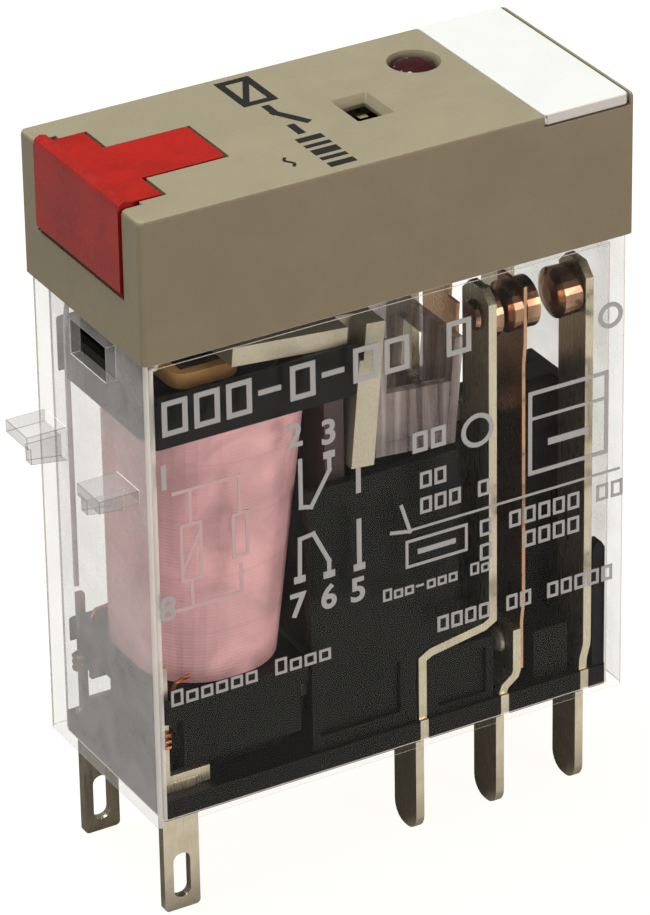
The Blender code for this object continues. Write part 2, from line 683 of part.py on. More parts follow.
def make_contact_set(side, materials):
    where = side_name(side)
    brass, copper, rivet_metal = materials
    nc_x, com_x, no_x = (CONTACT_BLADE_X[k] for k in ("nc", "com", "no"))
    no_route = [*bend(no_x, 1.9, NO_STRIP_X, 2.6), (NO_STRIP_X, STRIP_TOP)]
    upright_x = SPRING_ROOT_X - SPRING_THICK / 2 - FIT - BLADE_THICK / 2
    com_route = [*bend(com_x, 1.6, upright_x, 2.1), (upright_x, 4.9)]
    contact_terminal(f"nc_terminal_{where}", brass, side, nc_x, nc_route())
    contact_terminal(f"no_terminal_{where}", brass, side, no_x, no_route)
    com = contact_terminal(f"com_terminal_{where}", brass, side, com_x, com_route, top_round=False)
    rivet_z = SPRING_ROOT_Z + 0.7
    drill_hole(com, (upright_x, side * CONTACT_Y, rivet_z), 0.44)
    fixed_rivet(f"spring_rivet_{where}", rivet_metal, side, upright_x, rivet_z)
    nc_face = NC_STRIP_X + BLADE_THICK / 2
    no_face = NO_STRIP_X - BLADE_THICK / 2
    spring_left = SPRING_TIP_X - SPRING_THICK / 2
    spring_right = SPRING_TIP_X + SPRING_THICK / 2
    contact_gap = 0.85
    moving_right = 1.1
    fixed_contact(f"nc_contact_{where}", copper, side, nc_face, 1, 0.8)
    fixed_contact(f"no_contact_{where}", copper, side, no_face, -1,
                  no_face - spring_right - moving_right - contact_gap)
    axis = pivot(f"moving_spring_{where}_axis", SPRING_ROOT_X, SPRING_ROOT_Z)
    hang(make_moving_spring(where, side, copper), axis)
    reach_left = spring_left - nc_face - 0.8 - 0.05
    hang(make_moving_contact(where, side, copper, spring_left, reach_left, spring_right, moving_right), axis)


def drill_hole(piece, centre, radius):
    tool = as_object(f"{piece.name}_tool", turned([(-1, radius), (1, radius)], centre, "X", 16))
    step = piece.modifiers.new("Hole", "BOOLEAN")
    step.operation = "DIFFERENCE"
    step.object = tool
    bpy.context.view_layer.update()
    graph = bpy.context.evaluated_depsgraph_get()
    mesh = bpy.data.meshes.new_from_object(piece.evaluated_get(graph))
    piece.modifiers.clear()
    piece.data = mesh
    bpy.data.objects.remove(tool, do_unlink=True)


def fixed_rivet(name, material, side, upright_x, z):
    """Rivet that fastens a spring's root to the middle terminal."""
    back = upright_x - BLADE_THICK / 2 - FIT
    front = SPRING_ROOT_X + SPRING_THICK / 2 + FIT + 0.03
    reach = 0.32
    profile = [(back - reach, 0.35), (back - reach * 0.5, 0.6), (back, 0.7), (back + 0.001, 0.36),
               (front - 0.001, 0.36), (front, 0.75), (front + reach * 0.5, 0.65), (front + reach, 0.35)]
    return solid(name, material, [turned(profile, (0, side * CONTACT_Y, z), "X", 18)], smooth=50)


def fixed_contact(name, material, side, face, direction, reach):
    """Contact rivet in a fixed strip: shank through the strip, domed head on the working face."""
    back = face - direction * (BLADE_THICK + FIT + 0.22)
    crown = face + direction * reach
    head = face + direction * FIT
    r = CONTACT_RADIUS
    rise = min(0.35, reach * 0.4)
    profile = [(back, 0.7), (back + direction * 0.2, 0.85), (back + direction * 0.201, 0.6),
               (head - direction * 0.001, 0.6), (head, r * 0.97), (crown - direction * rise, r),
               (crown - direction * rise * 0.35, r * 0.72), (crown, r * 0.3)]
    return solid(name, material, [turned(profile, (0, side * CONTACT_Y, CONTACT_Z), "X", 24)], smooth=35)


def make_moving_spring(where, side, material):
    """Leaf from the root rivet up to the moving contact, with a slot beside the finger's track."""
    x0, x1 = SPRING_ROOT_X, SPRING_TIP_X
    top = 25.1
    route = [(x0, 2.3), (x0, 5.2), (x0 + 0.12, 6.4), (x1 - 0.1, 20.6), (x1, 21.8), (x1, top)]
    inner, outer = y_span(side, 1.6, 5.05)
    leaf = prism(band(route, SPRING_THICK), "Y", inner, outer)
    shank = 0.56
    holes = [
        turned([(-2, shank), (2, shank)], (x1, side * CONTACT_Y, CONTACT_Z), "X", 16),
        turned([(-2, 0.45), (2, 0.45)], (x0, side * CONTACT_Y, SPRING_ROOT_Z + 0.7), "X", 16),
        block(x0 - 1, x1 + 1, *y_span(side, 1.3, 2.45), 21.3, 26),
        block(x0 - 1, x1 + 1, *y_span(side, 1.3, 2.6), 2, 6.0),
    ]
    return solid(f"moving_spring_{where}", material, [leaf], holes, smooth=30)


def make_moving_contact(where, side, material, left, reach_left, right, reach_right):
    """Double-headed rivet through the moving spring."""
    r = CONTACT_RADIUS
    gap = 0.02
    profile = [(left - reach_left, r * 0.35), (left - reach_left + 0.12, r * 0.75),
               (left - reach_left + 0.32, r), (left - gap, r * 0.97), (left - gap + 0.001, 0.5),
               (right + gap - 0.001, 0.5), (right + gap, r * 0.97), (right + reach_right - 0.34, r),
               (right + reach_right - 0.12, r * 0.72), (right + reach_right, r * 0.3)]
    return solid(f"moving_contact_{where}", material,
                 [turned(profile, (0, side * CONTACT_Y, CONTACT_Z), "X", 24)], smooth=35)


def make_coil_terminal(side, material):
    """Blade with a slot, shoulder in the floor, and the post that the coil's lead is wound on."""
    where = side_name(side)
    half = BLADE_THICK / 2
    y0, y1 = side * COIL_BLADE_Y - half, side * COIL_BLADE_Y + half
    outline = blade_outline(COIL_BLADE_X, COIL_BLADE_WIDTH, -BLADE_REACH, -0.05, 0.25)
    neck_half = COIL_BLADE_WIDTH / 2 - 0.01
    neck = block(COIL_BLADE_X - neck_half, COIL_BLADE_X + neck_half, y0 + 0.02, y1 - 0.02, -0.1, 0.6)
    shoulder = block(-13.38, -11.12, y0 + 0.03, y1 - 0.03, 0.1, FLOOR_THICK + 0.5)
    post = block(-13.15, -12.75, y0 + 0.04, y1 - 0.04, FLOOR_THICK - 0.3, 8.7)
    tab = block(-12.9, -10.4, y0 + 0.05, y1 - 0.05, FLOOR_THICK + 0.05, 2.15)
    slot = prism(rounded_rectangle(COIL_BLADE_X - 0.5, COIL_BLADE_X + 0.5, -5.4, -2.7, 0.45, 4), "Y",
                 y0 - 1, y1 + 1)
    return solid(f"coil_terminal_{where}", material,
                 [prism(outline, "Y", y0, y1), neck, shoulder, post, tab], [slot], smooth=30)


def make_coil_lead(side, material):
    """Enamelled wire: three turns round the post, then up to the winding's first layer."""
    turns, steps, radius = 3, 10, 0.46
    post_x, post_y = -12.95, side * COIL_BLADE_Y
    route = []
    for i in range(turns * steps + 1):
        turn = math.tau * i / steps
        route.append((post_x + radius * math.cos(turn), post_y + side * radius * math.sin(turn),
                      4.0 + 0.36 * i / steps))
    route += [(-12.42, side * 4.5, 5.9), (-12.35, side * 4.45, 7.0), (-12.1, side * 4.4, 7.45),
              (-11.2, side * 4.3, 7.6)]
    return wire(f"coil_lead_{side_name(side)}", material, route, 0.12)


def make_lamp_lead(side, material):
    """Wire from the lamp board along the cap and down the coil end to the coil's post."""
    y = side * 4.5
    corners = [(4.6, y, 31.5), (2.5, y, 31.2), (-6.0, y, 31.1), (-11.6, y, 30.9), (-12.3, y, 30.2),
               (-12.4, y, 28.0), (-12.45, y, 26.8), (-12.8, y, 26.0), (-13.12, y, 25.0), (-13.12, y, 16.0),
               (-13.12, y, 9.2)]
    return wire(f"lamp_lead_{side_name(side)}", material, smooth_route(corners, 0.9), 0.15)


def main():
    clear_scene()
    black = make_material("black_phenolic", (0.012, 0.012, 0.011), 0.42)
    clear = make_material("clear_polycarbonate", (0.93, 0.94, 0.92), 0.06, clear=1.0)
    beige = make_material("beige_polycarbonate", (0.40, 0.36, 0.27), 0.5)
    white = make_material("white_plate", (0.86, 0.86, 0.83), 0.45)
    red = make_material("red_lever", (0.50, 0.02, 0.01), 0.35)
    maroon = make_material("lamp_red", (0.06, 0.004, 0.004), 0.15)
    green = make_material("board_green", (0.02, 0.10, 0.05), 0.5)
    tan = make_material("resistor_tan", (0.45, 0.30, 0.16), 0.5)
    glass = make_material("diode_black", (0.02, 0.02, 0.02), 0.3)
    brown = make_material("flag_brown", (0.03, 0.017, 0.012), 0.5)
    milky = make_material("milky_carrier", (0.72, 0.69, 0.68), 0.35, clear=0.5)
    cream = make_material("plated_steel", (0.50, 0.48, 0.38), 0.35, 0.8)
    dark_steel = make_material("dark_steel", (0.10, 0.08, 0.075), 0.4, 0.8)
    copper = make_material("copper", (0.72, 0.36, 0.18), 0.3, 1.0)
    pink = make_material("coil_tape_pink", (0.52, 0.24, 0.27), 0.6)
    winding = make_material("winding_copper", (0.45, 0.16, 0.07), 0.4, 0.8)
    brass = make_material("tinned_brass", (0.42, 0.40, 0.32), 0.35, 1.0)
    contact = make_material("contact_alloy", (0.55, 0.30, 0.17), 0.3, 1.0)

    make_base(black)
    make_case(clear)
    make_cap(beige)
    make_nameplate(white)
    make_lamp(maroon)
    make_lamp_board(green)
    lever_axis = pivot("test_lever_axis", LEVER_PIVOT_X, LEVER_PIVOT_Z)
    hang(make_test_lever(red), lever_axis)
    armature_axis = pivot("armature_axis", HINGE_X, HINGE_Z)
    for piece in (make_armature(cream), make_card(milky), make_indicator(brown)):
        hang(piece, armature_axis)
    armature_axis.rotation_euler = (0.0, OPEN_TILT, 0.0)
    make_hinge_spring(copper)
    make_yoke(dark_steel)
    make_core(dark_steel)
    make_shading_ring(copper)
    make_bobbin(black)
    make_winding(winding)
    make_tape(pink)
    axial_part("lamp_resistor", tan, 5.0, 8.8, -2.4, 30.95, 0.75)
    axial_part("lamp_diode", glass, 5.2, 8.6, 2.4, 30.95, 0.7)
    for side in (-1, 1):
        make_contact_set(side, (brass, contact, cream))
        make_coil_terminal(side, brass)
        make_coil_lead(side, winding)
        make_lamp_lead(side, cream)


main()
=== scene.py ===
import json
import math

import bmesh
import bpy
from mathutils import Matrix, Vector


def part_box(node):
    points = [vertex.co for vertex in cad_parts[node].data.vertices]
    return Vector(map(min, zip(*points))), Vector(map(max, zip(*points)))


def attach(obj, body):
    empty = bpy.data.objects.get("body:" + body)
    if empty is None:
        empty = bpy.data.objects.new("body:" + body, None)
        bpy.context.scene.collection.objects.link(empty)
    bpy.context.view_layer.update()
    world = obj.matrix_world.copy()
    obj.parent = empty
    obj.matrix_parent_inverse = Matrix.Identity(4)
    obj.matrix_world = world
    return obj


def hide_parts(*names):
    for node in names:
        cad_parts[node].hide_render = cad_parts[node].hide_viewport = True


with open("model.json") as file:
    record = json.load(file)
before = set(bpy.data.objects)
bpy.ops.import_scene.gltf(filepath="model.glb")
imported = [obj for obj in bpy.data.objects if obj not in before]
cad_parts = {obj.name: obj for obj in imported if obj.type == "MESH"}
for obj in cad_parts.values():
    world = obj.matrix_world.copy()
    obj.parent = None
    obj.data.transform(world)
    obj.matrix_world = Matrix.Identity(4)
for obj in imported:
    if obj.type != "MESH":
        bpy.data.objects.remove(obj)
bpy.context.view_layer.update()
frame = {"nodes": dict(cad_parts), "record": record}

MM = 0.001
BODY_OF = {node: body for body, nodes in frame["record"]["behaviour"]["bodies"].items() for node in nodes}
SLOT_OF = {part["node"]: part["material_slot"] for part in frame["record"]["subparts"]}

# Camera: angles in degrees round the object, distance and shift of its aim in millimetres
VIEW_AZIMUTH = -29.472
VIEW_ELEVATION = 28.701
VIEW_ROLL = -0.971
VIEW_DISTANCE = 307.015
VIEW_RIGHT = -0.697
VIEW_UP = 13.326
VIEW_LENS = 224.97
SENSOR = 36.0

FLOOR_Z = -6.1
FLOOR_HALF = 3.0
# How bright the floor and the sky are to the camera, to matt surfaces and in gloss
FLOOR_LEVELS = (1.0, 0.42, 0.85)
SKY_LEVELS = (1.05, 0.12, 0.16)
# In gloss the floor is bright in front of the object, dark under it and half bright far behind it (metres in y)
GLOSS_FRONT_DARK, GLOSS_FRONT_BRIGHT = -0.003, -0.009
GLOSS_BACK_DARK, GLOSS_BACK_BRIGHT = 0.018, 0.055
GLOSS_UNDER = 0.03
GLOSS_FAR_BEHIND = 0.45

SQUARE_ON = 0.985
ROUNDING_STEPS = 2
ROUNDED_ANGLE = 32
SHARP_ANGLE = 35


# ---------------------------------------------------------------- materials

# Faces that round an edge; the materials lighten them, partly as rubbed edges and partly as a painted highlight
# of light catching the edge.
EDGE_WEAR_AND_HIGHLIGHT = "edge_wear_and_highlight"


class Look:
    """A node material that is put together step by step round one Principled shader."""

    def __init__(self, name, colour, roughness, metallic=0.0, **sockets):
        self.material = bpy.data.materials.new(name)
        self.material.use_nodes = True
        self.tree = self.material.node_tree
        self.shader = self.tree.nodes["Principled BSDF"]
        self.output = self.tree.nodes["Material Output"]
        self.shader.inputs["Base Color"].default_value = (*colour, 1.0)
        self.shader.inputs["Roughness"].default_value = roughness
        self.shader.inputs["Metallic"].default_value = metallic
        for socket, value in sockets.items():
            self.shader.inputs[socket.replace("_", " ")].default_value = value
        self.material.diffuse_color = (*colour, 1.0)
        self.place = self.add("ShaderNodeTexCoord").outputs["Object"]
        self.height = None

    def add(self, kind, **settings):
        node = self.tree.nodes.new(kind)
        for key, value in settings.items():
            setattr(node, key, value)
        return node

    def link(self, source, target):
        self.tree.links.new(source, target)

    def stretched(self, scale):
        mapping = self.add("ShaderNodeMapping")
        self.link(self.place, mapping.inputs["Vector"])
        mapping.inputs["Scale"].default_value = scale
        return mapping.outputs["Vector"]

    def noise(self, per_mm, detail=4.0, stretch=(1, 1, 1), warp=0.0):
        """Noise with this many features in a millimetre, 0 to 1."""
        node = self.add("ShaderNodeTexNoise")
        self.link(self.stretched(tuple(s / MM for s in stretch)), node.inputs["Vector"])
        node.inputs["Scale"].default_value = per_mm
        node.inputs["Detail"].default_value = detail
        node.inputs["Roughness"].default_value = 0.55
        node.inputs["Distortion"].default_value = warp
        return node.outputs["Fac"]

    def bands(self, per_mm, warp=0.0, profile="SIN"):
        """Level bands, this many in a millimetre of height, 0 to 1."""
        node = self.add("ShaderNodeTexWave", bands_direction="Z", wave_profile=profile)
        self.link(self.stretched((1 / MM,) * 3), node.inputs["Vector"])
        node.inputs["Scale"].default_value = per_mm * math.pi / 10
        node.inputs["Distortion"].default_value = warp
        node.inputs["Detail"].default_value = 1.0
        return node.outputs["Fac"]

    def ramp(self, value, stops):
        """Colour that eases between the stops (position, colour)."""
        node = self.add("ShaderNodeValToRGB")
        node.color_ramp.interpolation = "EASE"
        while len(node.color_ramp.elements) < len(stops):
            node.color_ramp.elements.new(0.5)
        for element, (position, colour) in zip(node.color_ramp.elements, stops):
            element.position = position
            element.color = (*colour, 1.0)
        self.link(value, node.inputs["Fac"])
        return node.outputs["Color"]

    def mix(self, share, first, second):
        """Mix with this share of the second colour; each colour is a socket or a plain colour."""
        node = self.add("ShaderNodeMix", data_type="RGBA")
        for key, value in ((6, first), (7, second)):
            if isinstance(value, tuple):
                node.inputs[key].default_value = (*value, 1.0)
            else:
                self.link(value, node.inputs[key])
        self.link(share, node.inputs[0])
        return node.outputs[2]

    def span(self, value, low, high, out_low, out_high):
        """The value stretched from low..high to out_low..out_high and held there."""
        node = self.add("ShaderNodeMapRange")
        self.link(value, node.inputs["Value"])
        for key, number in (("From Min", low), ("From Max", high), ("To Min", out_low), ("To Max", out_high)):
            node.inputs[key].default_value = number
        return node.outputs["Result"]

    def combined(self, operation, first, second, **settings):
        """Two values put together by a sum, a product or the like."""
        node = self.add("ShaderNodeMath", operation=operation, **settings)
        self.link(first, node.inputs[0])
        self.link(second, node.inputs[1])
        return node.outputs[0]

    def edges(self):
        """Patchy, up to 1, along the rounded edges of a finished piece and 0 elsewhere."""
        # Mask for the lighter edges: partly rubbed, partly painted highlight.
        worn_and_lit = self.add("ShaderNodeAttribute", attribute_name=EDGE_WEAR_AND_HIGHLIGHT).outputs["Fac"]
        return self.combined("MULTIPLY", worn_and_lit, self.span(self.noise(1.6), 0.3, 0.65, 0.35, 1.0))

    def facing(self):
        """0 where a surface is seen head on, 1 where it is seen along itself."""
        node = self.add("ShaderNodeLayerWeight")
        node.inputs["Blend"].default_value = 0.5
        return node.outputs["Facing"]

    def see_through(self, share, tint):
        """Lets what is behind show, tinted, with this share of the surface's own look over it."""
        clear = self.add("ShaderNodeBsdfTransparent")
        clear.inputs["Color"].default_value = (*tint, 1.0)
        blend = self.add("ShaderNodeMixShader")
        self.link(share, blend.inputs[0])
        self.link(clear.outputs[0], blend.inputs[1])
        self.link(self.shader.outputs[0], blend.inputs[2])
        self.link(blend.outputs[0], self.output.inputs["Surface"])

    def paint(self, colour):
        self.link(colour, self.shader.inputs["Base Color"])

    def rough(self, value):
        self.link(value, self.shader.inputs["Roughness"])

    def bump(self, height, depth_mm, strength=1.0):
        node = self.add("ShaderNodeBump")
        node.inputs["Strength"].default_value = strength
        node.inputs["Distance"].default_value = depth_mm * MM
        self.link(height, node.inputs["Height"])
        if self.height is not None:
            self.link(self.height, node.inputs["Normal"])
        self.height = node.outputs["Normal"]
        self.link(self.height, self.shader.inputs["Normal"])


def shade(colour, factor):
    return tuple(min(c * factor, 1.0) for c in colour)


def moulded(name, colour, roughness, grain=0.010, variation=0.10, wear_and_highlight=1.12, **sockets):
    """Moulded plastic: faint flow marks, spark-eroded grain and paler edges, partly rubbed and partly painted
    highlight.
    """
    look = Look(name, colour, roughness, **sockets)
    flow = look.noise(0.22, detail=3, warp=0.8)
    tone = look.ramp(flow, [(0.25, shade(colour, 1 - variation)), (0.75, shade(colour, 1 + variation))])
    fine = look.noise(6.0, detail=5)
    tone = look.mix(look.span(fine, 0.35, 0.75, 0.0, 0.16), tone, shade(colour, 0.72))
    # Edges lightened by the given factor: partly rubbed, partly a painted highlight.
    look.paint(look.mix(look.edges(), tone, shade(colour, wear_and_highlight)))
    look.rough(look.span(look.noise(3.0, detail=3), 0.3, 0.7, roughness * 0.86, min(roughness * 1.16, 1.0)))
    look.bump(look.noise(11.0, detail=2), grain)
    return look.material


def rolled(name, colour, roughness, stretch=(1, 1, 1), stain=None, amount=0.35, metallic=1.0, **sockets):
    """Rolled or stamped metal: draw lines, cloudy tarnish and bright edges, partly burnished and partly painted
    highlight.
    """
    look = Look(name, colour, roughness, metallic, **sockets)
    cloud = look.noise(0.45, detail=5, warp=1.2)
    base = look.mix(look.span(cloud, 0.42, 0.68, 0.0, amount), colour, stain or shade(colour, 0.45))
    lines = look.noise(7.0, detail=3, stretch=stretch)
    base = look.mix(look.span(lines, 0.35, 0.7, 0.0, 0.30), base, shade(colour, 0.62))
    # Edges brightened: partly burnished, partly a painted highlight.
    look.paint(look.mix(look.edges(), base, shade(colour, 1.35)))
    look.rough(look.span(lines, 0.3, 0.7, roughness * 0.75, min(roughness * 1.35, 1.0)))
    look.bump(lines, 0.006)
    return look.material


def clear_wall(name, colour, roughness, metallic, head_on, veil):
    """Thin clear wall: what is behind shows straight through, more mirrored the flatter it is seen."""
    look = Look(name, colour, roughness, metallic)
    steep = look.add("ShaderNodeMath", operation="POWER")
    look.link(look.facing(), steep.inputs[0])
    steep.inputs[1].default_value = 5.0
    mirrored = look.span(steep.outputs[0], 0.0, 1.0, head_on, 1.0)
    # A cloudy whitish veil over the wall: partly dust, partly a painted haze of reflected light, strongest on
    # the case's ends.
    dust_and_reflection_haze = look.span(look.noise(0.35, detail=6, warp=0.6), 0.35, 0.75, veil * 0.7, veil * 1.5)
    look.see_through(look.combined("ADD", mirrored, dust_and_reflection_haze, use_clamp=True), (0.985, 0.99, 0.985))
    look.bump(look.noise(0.2, detail=2, warp=0.5), 0.03, 0.3)
    return look.material


def milky_plastic(name):
    """Smoky clear moulding of the carrier: seen through, with cloudy upright streaks."""
    colour = (0.56, 0.49, 0.48)
    look = Look(name, colour, 0.3)
    streaks = look.noise(1.3, detail=3, stretch=(1, 1, 0.04), warp=0.2)
    clouds = look.noise(0.4, detail=4, warp=0.6)
    tone = look.ramp(streaks, [(0.35, (0.16, 0.125, 0.12)), (0.52, colour), (0.68, (0.80, 0.75, 0.73))])
    look.paint(look.mix(look.span(clouds, 0.4, 0.7, 0.0, 0.35), tone, (0.25, 0.19, 0.18)))
    look.rough(look.span(look.noise(2.0), 0.3, 0.7, 0.2, 0.4))
    cloudy = look.span(streaks, 0.35, 0.65, 0.34, 0.62)
    flat_on = look.span(look.facing(), 0.4, 1.0, 0.0, 0.5)
    look.see_through(look.combined("ADD", flat_on, cloudy, use_clamp=True), (0.90, 0.85, 0.84))
    return look.material


def tape(name):
    """Polyester tape wound round the coil: overlapping edges and small wrinkles."""
    colour = (0.86, 0.49, 0.52)
    look = Look(name, colour, 0.42, Coat_Weight=0.25, Coat_Roughness=0.2)
    cloud = look.noise(0.28, detail=4, warp=1.0)
    tone = look.ramp(cloud, [(0.3, shade(colour, 0.82)), (0.7, shade(colour, 1.15))])
    laps = look.bands(0.30, warp=0.8, profile="SAW")
    tone = look.mix(look.span(laps, 0.92, 1.0, 0.0, 0.16), tone, shade(colour, 0.5))
    turns = look.bands(5.0, warp=0.3)
    tone = look.mix(look.span(turns, 0.0, 1.0, 0.0, 0.12), tone, shade(colour, 0.7))
    look.paint(tone)
    look.bump(turns, 0.012)
    look.bump(laps, 0.010)
    return look.material


def enamelled(name):
    """Winding wire under clear varnish, with a line between one turn and the next."""
    colour = (0.42, 0.14, 0.05)
    look = Look(name, colour, 0.25, metallic=0.9, Coat_Weight=0.6, Coat_Roughness=0.12)
    turns = look.bands(8.0)
    look.paint(look.mix(look.span(turns, 0.0, 1.0, 0.0, 0.6), colour, shade(colour, 0.45)))
    look.bump(turns, 0.04)
    return look.material


def lamp_glass(name):
    """Dark red lamp with pale spots scattered over it as painted glints."""
    colour = (0.034, 0.005, 0.006)
    look = Look(name, colour, 0.12, Specular_IOR_Level=0.35)
    tone = look.mix(look.span(look.noise(1.2, detail=3), 0.4, 0.7, 0.0, 0.7), colour, (0.012, 0.003, 0.004))
    # Pale spots set by noise: painted glints on the lens.
    look.paint(look.mix(look.span(look.noise(1.7, detail=1), 0.62, 0.68, 0.0, 0.8), tone, (0.62, 0.50, 0.48)))
    return look.material


def lever_red(name):
    """Red moulding with faint flow marks and lighter edges, partly rubbed and partly painted highlight."""
    colour = (0.30, 0.0085, 0.005)
    look = Look(name, colour, 0.34, Specular_IOR_Level=0.22)
    flow = look.noise(0.25, detail=3, warp=1.0)
    tone = look.ramp(flow, [(0.3, shade(colour, 0.86)), (0.7, shade(colour, 1.12))])
    # Lighter red on the edges: partly rubbed, partly a painted highlight.
    look.paint(look.mix(look.edges(), tone, (0.55, 0.05, 0.02)))
    look.rough(look.span(look.noise(4.0, detail=3), 0.3, 0.7, 0.26, 0.44))
    look.bump(look.noise(9.0, detail=2), 0.006)
    return look.material


def ink(name, colour, roughness=0.5):
    """Printing ink that covers a little unevenly."""
    look = Look(name, colour, roughness)
    thin = look.span(look.noise(9.0, detail=3), 0.45, 0.75, 0.0, 0.35)
    look.paint(look.mix(thin, colour, shade(colour, 0.7)))
    return look.material


def brightness(tree, levels, gloss_share=None):
    """Strength that differs between what the camera sees, what lights matt surfaces and what gloss shows."""
    paths = tree.nodes.new("ShaderNodeLightPath")
    total = None
    for ray, level in zip(("Is Camera Ray", "Is Diffuse Ray", "Is Glossy Ray"), levels):
        part = tree.nodes.new("ShaderNodeMath")
        part.operation = "MULTIPLY"
        tree.links.new(paths.outputs[ray], part.inputs[0])
        part.inputs[1].default_value = level
        if gloss_share is not None and ray == "Is Glossy Ray":
            tree.links.new(gloss_share, part.inputs[1])
        if total is None:
            total = part.outputs[0]
            continue
        step = tree.nodes.new("ShaderNodeMath")
        tree.links.new(total, step.inputs[0])
        tree.links.new(part.outputs[0], step.inputs[1])
        total = step.outputs[0]
    return total


def plain_floor(name):
    """White floor whose brightness in gloss changes from front to back, like a lit table's."""
    look = Look(name, (0.07, 0.07, 0.07), 0.9, Specular_IOR_Level=0.0)
    look.shader.inputs["Emission Color"].default_value = (1.0, 0.97, 0.93, 1.0)
    split = look.add("ShaderNodeSeparateXYZ")
    look.link(look.place, split.inputs[0])
    front_back = split.outputs["Y"]
    in_front = look.span(front_back, GLOSS_FRONT_DARK, GLOSS_FRONT_BRIGHT, 0.0, FLOOR_LEVELS[2])
    behind = look.span(front_back, GLOSS_BACK_DARK, GLOSS_BACK_BRIGHT, GLOSS_UNDER, GLOSS_FAR_BEHIND)
    levels = brightness(look.tree, FLOOR_LEVELS, look.combined("MAXIMUM", in_front, behind))
    look.link(levels, look.shader.inputs["Emission Strength"])
    return look.material


LOOKS = {
    # Black plastic edges lifted 4.2 times: mostly a painted highlight along the rounded edges.
    "black_plastic": moulded("black_plastic", (0.0075, 0.0076, 0.0068), 0.36, grain=0.006, wear_and_highlight=4.2,
                             Specular_IOR_Level=0.10),
    "clear_plastic": clear_wall("clear_plastic", (0.95, 0.95, 0.94), 0.06, 0.9, 0.005, 0.0015),
    # The ends' strong veil is mostly a painted haze of reflected light.
    "clear_end": clear_wall("clear_end", (0.93, 0.905, 0.90), 0.35, 0.0, 0.02, 0.17),
    # Rounded corners of the case: whiter and more opaque, a painted highlight line standing in for light
    # refracted along the corner.
    "clear_corner_highlight": clear_wall("clear_corner_highlight", (0.93, 0.92, 0.88), 0.30, 0.0, 0.60, 0.12),
    "clear_ledge": clear_wall("clear_ledge", (0.50, 0.475, 0.47), 0.22, 0.0, 0.22, 0.05),
    # Rounded edges of the ledges: dark and half opaque, a painted shade line standing in for the dark
    # refraction at a clear edge.
    "clear_ledge_edge_shade": clear_wall("clear_ledge_edge_shade", (0.15, 0.135, 0.135), 0.25, 0.0, 0.55, 0.1),
    "beige_plastic": moulded("beige_plastic", (0.255, 0.222, 0.150), 0.50, variation=0.05,
                             Specular_IOR_Level=0.12),
    "white_plastic": moulded("white_plastic", (0.64, 0.64, 0.62), 0.45, grain=0.004, variation=0.02, wear_and_highlight=1.05),
    "red_plastic": lever_red("red_plastic"),
    "lamp_red": lamp_glass("lamp_red"),
    "board_green": moulded("board_green", (0.02, 0.10, 0.05), 0.4),
    "resistor_tan": moulded("resistor_tan", (0.42, 0.28, 0.15), 0.4),
    "diode_black": moulded("diode_black", (0.02, 0.02, 0.02), 0.3),
    "flag_brown": moulded("flag_brown", (0.028, 0.016, 0.012), 0.5),
    "flag_ochre": moulded("flag_ochre", (0.30, 0.235, 0.14), 0.55),
    "milky_plastic": milky_plastic("milky_plastic"),
    "plated_steel": rolled("plated_steel", (0.58, 0.53, 0.41), 0.42, stain=(0.40, 0.35, 0.25), metallic=0.55),
    "dark_steel": rolled("dark_steel", (0.075, 0.050, 0.048), 0.42, stain=(0.03, 0.018, 0.016), metallic=0.6),
    # Copper of the shading ring, paler and almost not metallic so that it reads as brightly lit: painted light.
    "copper_painted_bright": rolled("copper_painted_bright", (0.96, 0.56, 0.20), 0.38, stain=(0.84, 0.42, 0.15), metallic=0.1),
    "copper": rolled("copper", (0.60, 0.36, 0.22), 0.30, stain=(0.34, 0.17, 0.09)),
    "pink_tape": tape("pink_tape"),
    "enamel_copper": enamelled("enamel_copper"),
    "tinned_brass": rolled("tinned_brass", (0.66, 0.59, 0.44), 0.28, stretch=(1, 1, 0.06),
                           stain=(0.40, 0.34, 0.22), amount=0.4, metallic=0.88),
    "tinned_wire": rolled("tinned_wire", (0.82, 0.79, 0.74), 0.4, metallic=0.1),
    "contact_alloy": rolled("contact_alloy", (0.50, 0.30, 0.19), 0.20, stain=(0.16, 0.07, 0.04), amount=0.8),
    "print_grey": ink("print_grey", (0.42, 0.43, 0.43)),
    "print_faint": ink("print_faint", (0.62, 0.44, 0.44)),
    "print_black": ink("print_black", (0.008, 0.008, 0.008), 0.35),
}


# ---------------------------------------------------------------- pieces

def place(piece, node, replace=False):
    """Lets a piece ride on the body of a CAD node, and hides that node when the piece replaces it."""
    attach(piece, BODY_OF[node])
    if replace:
        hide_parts(node)
    return piece


def new_piece(name, mesh, material=None):
    piece = bpy.data.objects.new(name, mesh)
    bpy.context.scene.collection.objects.link(piece)
    if material is not None:
        mesh.materials.clear()
        mesh.materials.append(LOOKS[material])
    return piece


def mark_edges(mesh, width):
    """Notes which faces are the narrow ones that round an edge, for the rubbed edges and painted edge
    highlights in the materials.
    """
    worn_and_lit = mesh.attributes.new(EDGE_WEAR_AND_HIGHLIGHT, "FLOAT", "FACE")
    for face in mesh.polygons:
        around = sum((mesh.vertices[a].co - mesh.vertices[b].co).length for a, b in face.edge_keys)
        narrow = 2 * face.area / around < width * MM
        square = max(abs(c) for c in face.normal) > SQUARE_ON
        worn_and_lit.data[face.index].value = float(narrow and not square)


def evaluated(piece):
    """A new mesh with the piece's modifiers applied."""
    bpy.context.view_layer.update()
    mesh = bpy.data.meshes.new_from_object(piece.evaluated_get(bpy.context.evaluated_depsgraph_get()))
    piece.modifiers.clear()
    return mesh


